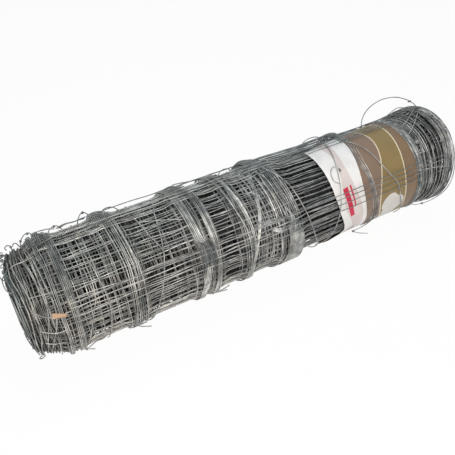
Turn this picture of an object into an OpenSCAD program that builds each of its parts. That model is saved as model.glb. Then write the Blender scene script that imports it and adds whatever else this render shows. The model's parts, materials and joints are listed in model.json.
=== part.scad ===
/* [Roll] */
// Height of the fence, which is the length of the roll
roll_len = 1200; // [1120:10:1600]
// Diameter over the hoop bands, where the roll rests
band_d = 287; // [276:1:330]
// Depth of the bare stays below the hoop bands
waist_depth = 8; // [4:0.5:12]
// Depth of the stays under the label below the hoop bands
label_depth = 14.5; // [9:0.5:30]
// Diameter of the near end, where the winding draws in
near_end_d = 238; // [200:1:260]
// Diameter of the open centre that a pole goes through
bore_d = 100; // [60:1:180]

/* [Hoop bands] */
// Length over which the near end widens to the bare stays
near_cone_w = 58; // [30:1:60]
// Width of the band at the far end
far_band_w = 110; // [40:1:140]
// Width of each band along the roll
band_w = 44; // [20:1:56]
// Near end to the middle of the first band
band_1_at = 93; // [93:1:150]
// Near end to the middle of the second band
band_2_at = 239; // [190:1:335]
// Near end to the middle of the third band
band_3_at = 423; // [330:1:440]
// Near end to the middle of the fourth band
band_4_at = 528; // [510:1:560]
// Near end to the middle of the fifth band
band_5_at = 648; // [610:1:700]
// Length over which the stays climb from a waist to a band
shoulder = 11; // [4:1:14]

/* [Bare stays] */
// Number of bundles of stays side by side round the bare length
stay_count = 60; // [36:1:72]
// Thickness of the bundle of stays that shows as one rib
stay_d = 8; // [4:0.5:8]

/* [Wound wire] */
// Thickness of the bundle of line wire that shows as one hoop
hoop_d = 5; // [2:0.5:6]
// Distance between neighbouring hoops
hoop_pitch = 6.4; // [6.1:0.1:10]
// Thickness of the bundle of turns that shows as one ring on an end
turn_d = 4.6; // [2:0.2:5]
// Distance between neighbouring rings on an end
turn_pitch = 5.4; // [5.1:0.1:9]

/* [Label] */
// Size of the printed sheet along the roll
label_w = 297; // [200:1:300]
// Size of the printed sheet around the roll
label_len = 420; // [200:1:600]
// Thickness of the sheet
label_t = 0.4; // [0.2:0.1:1]
// Angle of the sheet's upper edge above the front of the roll
label_top = 103; // [60:1:120]
// Distance from the sheet to the far band
label_gap = 1; // [1:1:20]

/* [Tag] */
// Length of the curled tag along the roll
tag_len = 26; // [12:1:30]
// Width of the tag
tag_w = 13; // [6:1:20]
// Thickness of the tag
tag_t = 0.8; // [0.4:0.1:2]
// Height to which the curl rises from its ends
tag_rise = 3; // [2:0.5:6]
// Hoop of the first band that the tag's end rests on
tag_hoop = 3; // [2:1:4]
// Angle of the tag above the front of the roll
tag_angle = 28; // [0:1:80]

/* [Fit] */
// Clearance between a loose piece and the wire under it
seat_gap = 0.3; // [0.1:0.1:0.8]

/* [Hidden] */
$fn = 96;

bore_r = bore_d / 2;
band_r = band_d / 2;
waist_r = band_r - waist_depth;
label_waist_r = band_r - label_depth;
near_r = near_end_d / 2;
land_r = band_r - hoop_d / 2;
near_land_r = near_r - hoop_d / 2;
end_face = turn_d / 2;
stay_r = stay_d / 2;

far_band_at = roll_len - far_band_w;
label_at = far_band_at - shoulder - label_gap - label_w;
// A shorter fence has only the bands that end before the label
band_places = [band_1_at, band_2_at, band_3_at, band_4_at, band_5_at];
bands = [for (at = band_places) if (at + band_w / 2 + shoulder <= label_at) at];
last_band = len(bands) - 1;
waist_end = bands[last_band] + band_w / 2;
label_r = label_waist_r + seat_gap;
label_sweep = label_len / (label_r + label_t / 2) * 180 / PI;

tag_rest_at = bands[0] - band_w / 2 + hoop_start(band_w) + (tag_hoop - 1) * hoop_pitch;
tag_at = tag_rest_at - tag_len / 2 + tag_t / 2;
tag_curl_r = (tag_len * tag_len / 4 + tag_rise * tag_rise) / (2 * tag_rise);

galvanised = [0.56, 0.58, 0.59];
printed_paper = [0.86, 0.82, 0.77];
tan_card = [0.80, 0.62, 0.42];

// Lays a piece turned about Z on its side, with its start at the near end
module lay_down() {
    translate([-roll_len / 2, 0, band_r])
        rotate([0, 90, 0])
            children();
}

// Half section of a stretch of the roll, from the open centre to radius r
module stretch(from, to, r) {
    translate([bore_r, from])
        square([r - bore_r, to - from]);
}

// Hoops that fit side by side on a given width, and the place of the first one
function hoop_count(width) = floor((width - hoop_d) / hoop_pitch) + 1;
function hoop_start(width) = (width - (hoop_count(width) - 1) * hoop_pitch) / 2;

// Round hoops side by side on a land of the given width
module hoop_row(from, width) {
    for (i = [0 : hoop_count(width) - 1])
        translate([land_r, from + hoop_start(width) + i * hoop_pitch])
            circle(d = hoop_d);
}

// Half section of one hoop band, with a slope down to the waist on each side
module band_section(from, width) {
    polygon([
        [bore_r, from - shoulder],
        [label_waist_r, from - shoulder],
        [land_r, from],
        [land_r, from + width],
        [label_waist_r, from + width + shoulder],
        [bore_r, from + width + shoulder]
    ]);
}

// Half section of the near end, which widens to the bare stays
module near_cone() {
    polygon([
        [bore_r, 0],
        [near_land_r, 0],
        [waist_r, near_cone_w],
        [bore_r, near_cone_w]
    ]);
}

// Round hoops that climb side by side from the near end
module cone_hoops() {
    for (i = [0 : hoop_count(near_cone_w) - 1]) {
        at = hoop_start(near_cone_w) + i * hoop_pitch;
        translate([near_land_r + (waist_r - near_land_r) * at / near_cone_w, at])
            circle(d = hoop_d);
    }
}

// One line wire that lies alone on the waist between two bands
module lone_hoop(at) {
    translate([waist_r, at])
        circle(d = hoop_d);
}

// Rings that the wound turns show on one end, clear of the hoops at radius r
module end_turns(at, r) {
    face_w = r - turn_d / 2 - bore_r;
    count = floor(face_w / turn_pitch);
    first = bore_r + (face_w - (count - 1) * turn_pitch) / 2;
    for (i = [0 : count - 1])
        translate([first + i * turn_pitch, at])
            circle(d = turn_d);
}

// Half section of the whole roll: waists, bands, hoops and the turns on its ends
module roll_section() {
    intersection() {
        union() {
            near_cone();
            stretch(near_cone_w, waist_end, waist_r);
            stretch(near_cone_w, roll_len, label_waist_r - stay_d);
            for (at = bands)
                band_section(at - band_w / 2, band_w);
            band_section(far_band_at, far_band_w);
        }
        stretch(end_face, roll_len - end_face, band_d);
    }
    cone_hoops();
    for (at = bands)
        hoop_row(at - band_w / 2, band_w);
    hoop_row(far_band_at, far_band_w - end_face);
    for (i = [0 : last_band - 1])
        lone_hoop((bands[i] + bands[i + 1]) / 2);
    end_turns(end_face, near_land_r);
    end_turns(roll_len - end_face, land_r);
}

// Stays side by side round the roll, with their tops at radius r
module stay_ring(from, to, r) {
    translate([0, 0, from])
        linear_extrude(to - from)
            difference() {
                union() {
                    circle(r = r - stay_r);
                    for (i = [0 : stay_count - 1])
                        rotate(i * 360 / stay_count)
                            translate([r - stay_r, 0])
                                circle(r = stay_r);
                }
                circle(r = r - 2 * stay_d);
            }
}

// The wound fence: one turned solid with its open centre, and its bare stays between the last two bands
module fence_roll() {
    color(galvanised)
        lay_down() {
            rotate_extrude()
                roll_section();
            stay_ring(bands[last_band], far_band_at + stay_d, label_waist_r);
        }
}

// The printed sheet, wrapped round the front of the bare stays
module paper_label() {
    color(printed_paper)
        lay_down()
            rotate([0, 0, -90 - label_top])
                rotate_extrude(angle = label_sweep)
                    translate([label_r, label_at])
                        square([label_t, label_w]);
}

// Outline of the curled tag seen from its edge, on the chord between its ends
module tag_outline() {
    intersection() {
        translate([0, tag_rise - tag_curl_r])
            difference() {
                circle(r = tag_curl_r);
                circle(r = tag_curl_r - tag_t);
            }
        translate([-tag_len / 2, 0])
            square([tag_len, tag_rise]);
    }
}

// The small curled tag, held by one end on the first band
module card_tag() {
    color(tan_card)
        translate([tag_at - roll_len / 2, 0, band_r])
            rotate([90 - tag_angle, 0, 0])
                translate([0, tag_w / 2, band_r + seat_gap])
                    rotate([90, 0, 0])
                        linear_extrude(tag_w)
                            tag_outline();
}

fence_roll();
paper_label();
card_tag();
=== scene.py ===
# %% [markdown]
# # A roll of wire fencing
# Knotted field fence is woven flat, from line wires that run along the fence and stays that stand upright,
# with a knot at each crossing. It is then wound up and sold lying on its side. This lesson rebuilds the
# winding wire by wire round the fixed CAD roll, so that the hoops, the stays and the dark gaps between
# them are real shapes and not a picture on a cylinder.

# %% Tools and the fixed frame
import json
import math

import bpy
import numpy as np
from mathutils import Matrix, Vector


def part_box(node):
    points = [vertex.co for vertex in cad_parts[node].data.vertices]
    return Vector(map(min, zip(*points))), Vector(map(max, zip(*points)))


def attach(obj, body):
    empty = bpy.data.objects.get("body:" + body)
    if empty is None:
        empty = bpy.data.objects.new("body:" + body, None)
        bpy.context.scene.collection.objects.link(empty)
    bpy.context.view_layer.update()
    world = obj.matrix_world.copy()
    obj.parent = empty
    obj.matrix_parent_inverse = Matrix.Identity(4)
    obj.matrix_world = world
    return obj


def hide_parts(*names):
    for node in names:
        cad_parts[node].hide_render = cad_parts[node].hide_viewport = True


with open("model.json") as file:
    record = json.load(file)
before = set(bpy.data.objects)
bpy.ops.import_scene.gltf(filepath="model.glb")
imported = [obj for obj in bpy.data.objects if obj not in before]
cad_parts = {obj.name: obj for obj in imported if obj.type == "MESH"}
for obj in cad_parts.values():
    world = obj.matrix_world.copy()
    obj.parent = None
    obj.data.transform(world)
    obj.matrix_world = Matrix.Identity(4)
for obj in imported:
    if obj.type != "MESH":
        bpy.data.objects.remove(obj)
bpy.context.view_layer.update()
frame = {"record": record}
MM = 0.001

# %% [markdown]
# ## Measures of the roll
# Every size that the CAD roll already has is read from it: the ends, the axis, the radius over the hoop
# bands, the open centre and the place of the label. Places on the roll are then given as a builder would
# point at them: so far along from the near end, so many degrees above the front, so far from the axis.

# %% Read the roll, the label and the open centre
roll_low, roll_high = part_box("fence_roll")
label_low, label_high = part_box("paper_label")
tag_low, tag_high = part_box("card_tag")
NEAR_END = roll_low.x
ROLL_LENGTH = roll_high.x - roll_low.x
AXIS_HEIGHT = (roll_low.z + roll_high.z) / 2
BAND_RADIUS = (roll_high.z - roll_low.z) / 2
BORE_RADIUS = frame["record"]["mounts"][0]["dims"]["r_mm"] * MM
LABEL_RADIUS = -label_low.y
LABEL_START = label_low.x - NEAR_END
LABEL_STOP = label_high.x - NEAR_END
LABEL_TOP = math.degrees(math.acos(-label_high.y / LABEL_RADIUS))
LABEL_FOOT = math.degrees(math.asin((label_low.z - AXIS_HEIGHT) / LABEL_RADIUS))


def ease(value):
    """A soft step from 0 to 1."""
    value = np.clip(value, 0.0, 1.0)
    return value * value * (3 - 2 * value)


BOW_MIDDLE = 44.0
BOW_FLAT = 28.0
BOW_FADE = 58.0
BOW_OUT = 3.0 * MM
BOW_BACK = 13.0 * MM
BOW_LENGTH = 60 * MM
NEAR_LIFT = [(-90, 0), (70, 0), (115, 7), (130, 7), (170, 0)]
NEAR_LIFT_LENGTH = 48 * MM
FAR_LIFT = [
    (-90, 0), (-60, 0), (-13, -5), (10, -4), (25, 1), (40, 7), (55, 12), (80, 12), (105, 6), (128, 1),
    (180, 0),
]
FAR_LIFT_START = 1120 * MM
FAR_LIFT_LENGTH = 60 * MM


def read_round(angle, angles, values):
    """A value between the rows of a table that goes once round the roll."""
    return np.interp(angle, angles, values, period=360.0)


def near_end_bow(along, angle):
    """How far the wires of the near end stand back: it bows out in front and recedes round the sides."""
    away = np.abs((np.asarray(angle, float) - BOW_MIDDLE + 180.0) % 360.0 - 180.0)
    back = BOW_BACK * ease((away - BOW_FLAT) / BOW_FADE) - BOW_OUT
    return back * (1 - ease(np.asarray(along) / BOW_LENGTH))


def end_lift(along, angle):
    """How far the wires stand off a true circle: up behind the near rim, out of round at the far rim."""
    along = np.asarray(along, float)
    near = read_round(angle, *np.array(NEAR_LIFT, float).T)
    near = near * np.sin(np.pi * np.clip(along / NEAR_LIFT_LENGTH, 0.0, 1.0))
    far = read_round(angle, *np.array(FAR_LIFT, float).T)
    return (near + far * ease((along - FAR_LIFT_START) / FAR_LIFT_LENGTH)) * MM


def on_roll(along, angle, radius):
    """Points in metres from a distance along the roll, degrees above its front and distance from its axis."""
    along, angle, radius = np.broadcast_arrays(along, angle, radius)
    turn = np.radians(angle)
    radius = radius + end_lift(along, angle)
    along = along + near_end_bow(along, angle)
    return np.stack(
        [NEAR_END + along, -radius * np.cos(turn), AXIS_HEIGHT + radius * np.sin(turn)], axis=-1
    )


print("roll", round(ROLL_LENGTH / MM), "mm long,", round(2 * BAND_RADIUS / MM), "mm over its bands")
print("label from", round(LABEL_TOP), "to", round(LABEL_FOOT), "degrees")

# %% [markdown]
# ## Camera, floor and light
# The roll was seen from its left end, looking down on it with a fairly wide lens. The camera's place and
# turn come from matching the outline and the hoops of the roll. The floor is a pale sheet that turns white
# for the camera and for reflections but still takes a soft shadow. A broad warm lamp stands in front and a
# weaker cool one hangs overhead, because the fronts of the wires look warm and their tops bluish.

# %% Camera
IMAGE_SIDE = 455
FOCAL_PIXELS = 552.1
SENSOR_WIDTH = 36.0
CAMERA_PLACE = Vector((NEAR_END + 12.7 * MM, -914.0 * MM, 1100.9 * MM))
CAMERA_YAW = math.radians(30.017)
CAMERA_PITCH = math.radians(42.271)


def put_in_scene(name, data):
    """A new object at the origin that shows the given data."""
    thing = bpy.data.objects.new(name, data)
    bpy.context.scene.collection.objects.link(thing)
    return thing


camera_data = bpy.data.cameras.new("photo_camera")
camera_data.sensor_width = SENSOR_WIDTH
camera_data.lens = SENSOR_WIDTH * FOCAL_PIXELS / IMAGE_SIDE
camera = put_in_scene("photo_camera", camera_data)
camera.location = CAMERA_PLACE
camera.rotation_euler = (math.pi / 2 - CAMERA_PITCH, 0.0, -CAMERA_YAW)
bpy.context.scene.camera = camera
bpy.context.scene.view_settings.view_transform = "Standard"
print("lens", round(camera_data.lens, 1), "mm")


# %% Helpers for nodes
def give(tree, node, inputs):
    """Sets inputs of a node: each to a plain value, or linked from a socket of another node."""
    for name, value in inputs.items():
        if isinstance(value, bpy.types.NodeSocket):
            tree.links.new(value, node.inputs[name])
        else:
            node.inputs[name].default_value = value


def add_node(tree, kind, inputs=None, **settings):
    node = tree.nodes.new(kind)
    for name, value in settings.items():
        setattr(node, name, value)
    give(tree, node, inputs or {})
    return node


def reckon(tree, operation, first, second=0.0):
    """The result of one sum on two values or sockets."""
    return add_node(tree, "ShaderNodeMath", {0: first, 1: second}, operation=operation).outputs[0]


def new_material(name):
    material = bpy.data.materials.new(name)
    material.use_nodes = True
    return material, material.node_tree


# %% Floor, world and lamps
FLOOR_HALF = 6.0
FLOOR_GLOW = 0.95
FLOOR_PAINT = (0.9, 0.9, 0.9, 1.0)
FILL_COLOUR = (0.93, 0.96, 1.0, 1.0)
FILL_STRENGTH = 0.2
LAMP_AIM = (0.0, 0.0, 0.15)


def seen_ray(tree):
    """A value that is 1 for rays from the camera, from a reflection or through glass."""
    path = add_node(tree, "ShaderNodeLightPath")
    total = path.outputs["Is Camera Ray"]
    for ray in ("Is Glossy Ray", "Is Transmission Ray"):
        total = reckon(tree, "MAXIMUM", total, path.outputs[ray])
    return total


def mix_seen(tree, share, lit, seen):
    """The lit shader, and for rays that are seen the other one."""
    mix = add_node(tree, "ShaderNodeMixShader", {"Fac": share, 1: lit.outputs[0], 2: seen.outputs[0]})
    return mix.outputs[0]


def make_world():
    world = bpy.data.worlds.new("pale_studio")
    world.use_nodes = True
    tree = world.node_tree
    tree.nodes.clear()
    fill = add_node(tree, "ShaderNodeBackground", {"Color": FILL_COLOUR, "Strength": FILL_STRENGTH})
    pale = add_node(tree, "ShaderNodeBackground", {"Strength": 1.0})
    add_node(tree, "ShaderNodeOutputWorld", {"Surface": mix_seen(tree, seen_ray(tree), fill, pale)})
    bpy.context.scene.world = world


def make_floor():
    mesh = bpy.data.meshes.new("floor")
    corners = [(-1, -1), (1, -1), (1, 1), (-1, 1)]
    mesh.from_pydata([(x * FLOOR_HALF, y * FLOOR_HALF, 0.0) for x, y in corners], [], [(0, 1, 2, 3)])
    material, tree = new_material("pale_floor")
    tree.nodes.clear()
    paint = add_node(tree, "ShaderNodeBsdfDiffuse", {"Color": FLOOR_PAINT})
    glow = add_node(tree, "ShaderNodeEmission")
    share = reckon(tree, "MULTIPLY", seen_ray(tree), FLOOR_GLOW)
    add_node(tree, "ShaderNodeOutputMaterial", {"Surface": mix_seen(tree, share, paint, glow)})
    mesh.materials.append(material)
    floor = put_in_scene("floor", mesh)


def make_lamp(name, place, side, power, colour):
    data = bpy.data.lights.new(name, "AREA")
    data.shape = "SQUARE"
    data.size = side
    data.energy = power
    data.color = colour
    lamp = put_in_scene(name, data)
    lamp.location = place
    lamp.rotation_euler = (Vector(LAMP_AIM) - Vector(place)).to_track_quat("-Z", "Y").to_euler()


make_world()
make_floor()
make_lamp("front_lamp", place=(-0.9, -1.8, 1.9), side=1.0, power=60.0, colour=(1.0, 0.95, 0.89))
make_lamp("overhead_lamp", place=(0.3, 0.5, 2.4), side=1.2, power=18.0, colour=(0.76, 0.89, 1.0))
print("studio ready")

# %% [markdown]
# ## Galvanised wire
# The fence is drawn steel wire with a zinc coat that has gone dull: cool grey, patchy along each wire,
# with black grime in patches, and the wires that lie deep between the turns are darkened as painted
# shade. A flat grey would look like plastic. One shader group mixes clean zinc, dull zinc and grime by
# noise on the object's own coordinates. Two values that each wire carries with it help: how deep it lies
# under the outside of the roll, which sets the painted shade, and how bright it is, which holds its own
# patchy tone together with painted highlight and painted shade.
# Three tints follow: dark wires turn slate, the near end is a little warmer, and the upper side is darker
# and cooler, as painted shade with a painted cool reflection.


# %% Helpers for materials
def noise(tree, scale, detail):
    """A cloudy pattern from 0 to 1, fixed to the piece's own coordinates."""
    place = add_node(tree, "ShaderNodeTexCoord").outputs["Object"]
    cloud = add_node(tree, "ShaderNodeTexNoise", {"Vector": place, "Scale": scale, "Detail": detail})
    return cloud.outputs["Fac"]


def rescale(tree, value, low, high, to_low=0.0, to_high=1.0, curve="LINEAR"):
    """A value taken from one range to another and held within it."""
    limits = {"From Min": low, "From Max": high, "To Min": to_low, "To Max": to_high}
    ramp = add_node(tree, "ShaderNodeMapRange", {"Value": value, **limits}, interpolation_type=curve)
    return ramp.outputs["Result"]


def blend(tree, share, first, second):
    """A colour between two colours."""
    mix = add_node(tree, "ShaderNodeMix", {"Factor": share, 6: first, 7: second}, data_type="RGBA")
    return mix.outputs[2]


def dim(tree, colour, level):
    """A colour made darker or brighter."""
    return add_node(tree, "ShaderNodeVectorMath", {0: colour, "Scale": level}, operation="SCALE").outputs[0]


def bumped(tree, height, strength, distance):
    """The direction of a surface that a fine pattern makes uneven."""
    relief = add_node(tree, "ShaderNodeBump", {"Height": height, "Strength": strength, "Distance": distance})
    return relief.outputs["Normal"]


# %% Zinc shader group
# Painted shade between the turns: the depth in mm where wires are darkest, and how dark they get.
DARK_DEPTH = 12.0
DARKEST = 0.24
UPWARD = (-0.08, 0.34, 0.94)
SLATE = (0.90, 1.0, 1.05, 1.0)
UNTINTED = (1.0, 1.0, 1.0, 1.0)
FAR_TINT = (0.965, 1.0, 1.025, 1.0)
NEAR_TINT = (1.0, 1.0, 0.99, 1.0)
# Painted shade with a painted cool reflection on the upper side of the roll.
PAINTED_TOP_SHADE = (0.86, 0.905, 0.905, 1.0)
ZINC_SOCKETS = [
    ("INPUT", "NodeSocketColor", ("Clean Zinc", "Dull Zinc", "Grime")),
    ("INPUT", "NodeSocketFloat", ("Patch Scale", "Grain Scale", "Grime Share", "Depth", "Shade")),
    ("OUTPUT", "NodeSocketColor", ("Color",)),
    ("OUTPUT", "NodeSocketFloat", ("Roughness", "Height")),
]


def make_zinc_group():
    tree = bpy.data.node_groups.new("weathered_zinc_and_painted_shade", "ShaderNodeTree")
    for side, kind, names in ZINC_SOCKETS:
        for name in names:
            tree.interface.new_socket(name, in_out=side, socket_type=kind)
    given = add_node(tree, "NodeGroupInput").outputs
    patch = noise(tree, given["Patch Scale"], 4.0)
    dirt = rescale(tree, noise(tree, 23.0, 5.0), 0.45, 0.75)
    colour = blend(tree, rescale(tree, patch, 0.38, 0.66), given["Clean Zinc"], given["Dull Zinc"])
    colour = blend(tree, reckon(tree, "MULTIPLY", dirt, given["Grime Share"]), colour, given["Grime"])
    # Painted shade: wires lying deeper under the outside of the roll are made darker.
    lit = rescale(tree, given["Depth"], 0.0, DARK_DEPTH, 1.0, DARKEST, "SMOOTHSTEP")
    colour = dim(tree, colour, reckon(tree, "MULTIPLY", lit, given["Shade"]))
    place = add_node(tree, "ShaderNodeTexCoord").outputs["Object"]
    along = add_node(tree, "ShaderNodeSeparateXYZ", {"Vector": place}).outputs["X"]
    upper = add_node(tree, "ShaderNodeVectorMath", {0: place, 1: UPWARD}, operation="DOT_PRODUCT")
    for value, low, high, first, second in (
        (given["Shade"], 0.4, 0.72, SLATE, UNTINTED),
        (along, 0.1, -0.5, FAR_TINT, NEAR_TINT),
        # painted shade with a painted cool reflection on the upper side
        (upper.outputs["Value"], 0.205, 0.255, UNTINTED, PAINTED_TOP_SHADE),
    ):
        tint = blend(tree, rescale(tree, value, low, high), first, second)
        tinted = add_node(tree, "ShaderNodeVectorMath", {0: colour, 1: tint}, operation="MULTIPLY")
        colour = tinted.outputs[0]
    rough = rescale(tree, patch, 0.0, 1.0, 0.38, 0.65)
    grain = noise(tree, given["Grain Scale"], 2.0)
    add_node(tree, "NodeGroupOutput", {"Color": colour, "Roughness": rough, "Height": grain})
    return tree


ZINC = make_zinc_group()
print("shader group", ZINC.name)

# %% Wire materials
PATCH_SCALE = 55.0
GRAIN_SCALE = 900.0
GRIME_SHARE = 0.6


def make_wire_material(name, clean, dull, grime, metallic):
    material, tree = new_material(name)
    zinc = {"Clean Zinc": (*clean, 1.0), "Dull Zinc": (*dull, 1.0), "Grime": (*grime, 1.0)}
    zinc.update({"Patch Scale": PATCH_SCALE, "Grain Scale": GRAIN_SCALE, "Grime Share": GRIME_SHARE})
    for label in ("Depth", "Shade"):
        carried = add_node(tree, "ShaderNodeAttribute", attribute_name=label.lower())
        zinc[label] = carried.outputs["Fac"]
    made = add_node(tree, "ShaderNodeGroup", zinc, node_tree=ZINC).outputs
    finish = {"Base Color": made["Color"], "Roughness": made["Roughness"], "Metallic": metallic}
    finish["Normal"] = bumped(tree, made["Height"], 0.25, 0.2 * MM)
    give(tree, tree.nodes["Principled BSDF"], finish)
    return material


BRIGHT_WIRE = make_wire_material(
    "galvanised_outer_wire", (0.61, 0.585, 0.55), (0.28, 0.288, 0.285), (0.09, 0.082, 0.074), 0.35
)
# A darker copy of the wire material for the turns deep in the roll, as painted shade.
SHADED_WIRE = make_wire_material(
    "shaded_inner_wire", (0.2, 0.2, 0.197), (0.12, 0.12, 0.12), (0.05, 0.047, 0.044), 0.4
)
print("wire materials:", BRIGHT_WIRE.name, SHADED_WIRE.name)

# %% [markdown]
# ## From a bent path to a drawn wire
# Hundreds of wires share one section, so the wire is made once, as a Geometry Nodes tree: it takes bare
# edges as the path, sweeps a small circle along them and sets the material. The paths are worked out in
# Python, where the rule of the winding is easy to read. The tree's result is kept as a plain mesh.


# %% Drawn wire tree
def new_tree(name, inputs):
    tree = bpy.data.node_groups.new(name, "GeometryNodeTree")
    tree.interface.new_socket("Geometry", in_out="INPUT", socket_type="NodeSocketGeometry")
    for label, kind in inputs:
        tree.interface.new_socket(label, in_out="INPUT", socket_type="NodeSocket" + kind)
    tree.interface.new_socket("Geometry", in_out="OUTPUT", socket_type="NodeSocketGeometry")
    return tree, tree.nodes.new("NodeGroupInput"), tree.nodes.new("NodeGroupOutput")


def finish_tree(tree, geometry, given, out):
    smooth = add_node(tree, "GeometryNodeSetShadeSmooth", {"Geometry": geometry})
    realize = add_node(tree, "GeometryNodeRealizeInstances", {"Geometry": smooth.outputs["Geometry"]})
    painted = {"Geometry": realize.outputs["Geometry"], "Material": given.outputs["Material"]}
    paint = add_node(tree, "GeometryNodeSetMaterial", painted)
    give(tree, out, {"Geometry": paint.outputs["Geometry"]})


def add_circle(tree, diameter, sides):
    """A round curve of a given diameter."""
    size = {"Radius": reckon(tree, "MULTIPLY", diameter, 0.5), "Resolution": sides}
    return add_node(tree, "GeometryNodeCurvePrimitiveCircle", size).outputs["Curve"]


def make_drawn_wire_tree():
    tree, given, out = new_tree(
        "drawn_wire", (("Wire Diameter", "Float"), ("Sides", "Int"), ("Material", "Material"))
    )
    path = add_node(tree, "GeometryNodeMeshToCurve", {"Mesh": given.outputs["Geometry"]})
    section = add_circle(tree, given.outputs["Wire Diameter"], given.outputs["Sides"])
    drawn = {"Curve": path.outputs["Curve"], "Profile Curve": section, "Fill Caps": True}
    sweep = add_node(tree, "GeometryNodeCurveToMesh", drawn)
    finish_tree(tree, sweep.outputs["Mesh"], given, out)
    return tree


DRAWN_WIRE = make_drawn_wire_tree()
print("tree", DRAWN_WIRE.name)


# %% Run a tree on a mesh and keep a plain piece
OUTER_SINK = 3.0
INNER_SINK = 0.5
INSIDE_FROM = 12 * MM


def run_tree(name, mesh, tree, values):
    """The mesh that a tree makes from a mesh, as a new object at the origin."""
    source = put_in_scene(name + "_path", mesh)
    modifier = source.modifiers.new("build", "NODES")
    modifier.node_group = tree
    for label, value in values.items():
        modifier[tree.interface.items_tree[label].identifier] = value
    graph = bpy.context.evaluated_depsgraph_get()
    made = bpy.data.meshes.new_from_object(source.evaluated_get(graph))
    bpy.data.objects.remove(source)
    bpy.data.meshes.remove(mesh)
    made.name = name
    print(name, sum(len(p.vertices) - 2 for p in made.polygons), "triangles")
    return put_in_scene(name, made)


def carry(mesh, **values):
    """Stores values with each point of a mesh, which its material reads."""
    for label, column in values.items():
        attribute = mesh.attributes.new(label, "FLOAT", "POINT")
        attribute.data.foreach_set("value", column.astype(np.float32))


def path_mesh(name, paths):
    """Bare edges along each path. The points carry their depth under the outside in mm and their shade.

    Light also falls in from the ends, so a wire near an end counts as less deep, most of all inside the roll.
    """
    rows = np.concatenate(paths)
    points, shade = rows[:, :3], rows[:, 3]
    along, height = points[:, 0] - NEAR_END, points[:, 2] - AXIS_HEIGHT
    lift = end_lift(along, np.degrees(np.arctan2(height, -points[:, 1])))
    depth = envelope(along) + lift - np.hypot(points[:, 1], height)
    sink = OUTER_SINK + (INNER_SINK - OUTER_SINK) * ease((depth - INSIDE_FROM) / INSIDE_FROM)
    depth = np.minimum(depth, sink * np.minimum(along, ROLL_LENGTH - along)) / MM
    edges, start = [], 0
    for path in paths:
        row = np.arange(start, start + len(path))
        edges.append(np.stack([row[:-1], row[1:]], axis=1))
        start += len(path)
    edges = np.concatenate(edges)
    mesh = bpy.data.meshes.new(name + "_path")
    mesh.vertices.add(len(points))
    mesh.vertices.foreach_set("co", points.astype(np.float32).ravel())
    mesh.edges.add(len(edges))
    mesh.edges.foreach_set("vertices", edges.astype(np.int32).ravel())
    carry(mesh, depth=depth, shade=shade)
    mesh.update()
    return mesh


def with_shade(points, shade):
    """Path points with the brightness of their zinc as a fourth column."""
    return np.column_stack([points, np.broadcast_to(shade, len(points))])


def draw_wires(name, paths, diameter, sides, material):
    lifted = []
    for path in paths:
        path = np.array(path, float)
        path[:, 2] = np.maximum(path[:, 2], diameter / 2)
        lifted.append(path)
    values = {"Wire Diameter": diameter, "Sides": sides, "Material": material}
    return run_tree(name, path_mesh(name, lifted), DRAWN_WIRE, values)


def dress_roll(piece):
    """The piece moves with the roll and stands for its turned solid."""
    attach(piece, "root")
    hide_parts("fence_roll")


# %% [markdown]
# ## The rule of the winding
# The fence is wound from the open centre outwards. Its first turns are loose and fill the middle of the
# roll; the last ones are drawn tight and lie close under the outside. Where many turns of a line wire lie
# over each other they pile up into a band, and between the bands the wires sink into waists. The near end
# draws in to a cone. On top of this rule each wire wanders: a seeded sum of slow waves, the same on every
# run.

# %% Winding measures
TURNS = 72
OUTER_TURNS = 27
SWEEP_TURNS = 8.6
BORDER = TURNS - OUTER_TURNS
END_ANGLE = -45.0
WIRE = 2.2 * MM
INNER_WIRE = 4.0 * MM
INNER_RADIUS = BORE_RADIUS + INNER_WIRE / 2
BAND_CENTRE = BAND_RADIUS - WIRE / 2 - 0.8 * MM
WAIST_DEPTH = 8 * MM
NEAR_DEPTH = 24 * MM
NEAR_CONE = 64 * MM
UNDER_LABEL = LABEL_RADIUS - 2.4 * MM
ABOVE_LABEL = LABEL_RADIUS + 1.7 * MM
SHOULDER = 14 * MM
HOOP_BANDS = [(74, 114), (220, 258), (392, 453), (509, 546), (621, 678)]
FAR_BAND = 1085 * MM
FAR_SHOULDER = 110 * MM
LABEL_WAIST = 692 * MM
# The near rim is painted dark, as painted shade inside the rim; the steps then change the brightness.
NEAR_RIM_SHADE = 0.4
BRIGHTNESS_STEPS = [
    (8, 20, 0.5), (60, 60, 0.1), (270, 20, 0.1), (490, 20, -0.1), (675, 25, -0.15), (1075, 15, 0.02),
    (1150, 30, -0.1),
]
WANDER_WAVES = 5
SEED = {
    "drift": 100, "wave": 300, "kink": 400, "swell": 500, "dent": 600, "shade": 700, "fleck": 800,
    "bunch": 77, "stay": 2000, "stay_bow": 3000, "stay_dent": 4000, "stay_shade": 6000, "stay_fleck": 7000,
    "top_stay": 5000, "top_stay_dent": 5100, "top_stay_bow": 5200, "tangle": 9000, "bridge": 9100,
    "crease": 71, "fold": 72, "pressed_top": 81, "pressed_shade": 82, "slate_top": 83, "slate_foot": 84,
    "slate_shade": 85, "slate_place": 86,
}


def wander(t, seed):
    """A smooth random curve between about -1 and 1, with a wave about every unit of t."""
    dice = np.random.default_rng(seed)
    t = np.asarray(t, float)
    total = np.zeros_like(t)
    for _ in range(WANDER_WAVES):
        total += np.sin(2 * np.pi * (t * dice.uniform(0.3, 1.5) + dice.uniform()))
    return total / math.sqrt(WANDER_WAVES * 2)


def climb(along):
    """0 on the bare stays, 1 on the hoop bands, with a slope between."""
    along = np.asarray(along, float)
    height = np.zeros_like(along)
    for start, stop in HOOP_BANDS:
        slope = ease((along - start * MM) / SHOULDER + 1) * ease((stop * MM - along) / SHOULDER + 1)
        height = np.maximum(height, slope)
    return np.maximum(height, ease((along - FAR_BAND) / FAR_SHOULDER))


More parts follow.
